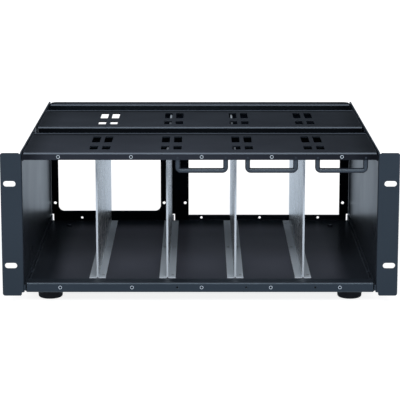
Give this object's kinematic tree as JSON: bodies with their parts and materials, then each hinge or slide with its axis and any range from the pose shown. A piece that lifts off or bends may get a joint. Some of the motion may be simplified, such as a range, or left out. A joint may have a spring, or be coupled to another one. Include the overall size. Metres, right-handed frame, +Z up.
{
  "type": "subrack card cage",
  "caption": "Open rack-mount steel card cage with slotted ears, sheet dividers between bays, vented top plates, hanging rod handles and rubber feet.",
  "frame": {"origin": "on the floor under the middle of the chassis, level with the underside of the feet", "axes": "+X to the right seen from the front, +Y from the front to the back, +Z up"},
  "size_m": [0.4826, 0.424, 0.188],
  "materials": {
    "black_powder_coat": "semi-gloss black powder coat",
    "galvanised_steel": "galvanised, semi-bright",
    "black_rod": "semi-gloss black enamel",
    "black_rivet": "semi-gloss black",
    "zinc_plate": "bright zinc plate",
    "black_rubber": "matte"
  },
  "bodies": {
    "root": {"side_plate_left": "black_powder_coat", "side_plate_right": "black_powder_coat", "bottom_tray": "black_powder_coat", "top_plate_front": "black_powder_coat", "top_plate_rear": "black_powder_coat", "rear_rail": "black_powder_coat", "rear_frame_left": "black_powder_coat", "rear_frame_right": "black_powder_coat", "divider_1_left": "galvanised_steel", "divider_1_right": "galvanised_steel", "divider_2_left": "galvanised_steel", "divider_2_right": "galvanised_steel", "divider_3_left": "galvanised_steel", "divider_3_right": "galvanised_steel", "divider_4_left": "galvanised_steel", "divider_4_right": "galvanised_steel", "handle_left": "black_rod", "handle_middle": "black_rod", "handle_right": "black_rod", "handle_pins": "zinc_plate", "top_lip_nuts": "zinc_plate", "bottom_lip_nuts": "zinc_plate", "divider_rivets": "zinc_plate", "side_rivets_left": "black_rivet", "side_rivets_right": "black_rivet", "foot_front_left": "black_rubber", "foot_front_right": "black_rubber", "foot_rear_left": "black_rubber", "foot_rear_right": "black_rubber", "foot_screws": "zinc_plate", "foot_nuts": "zinc_plate"}
  },
  "joints": []
}
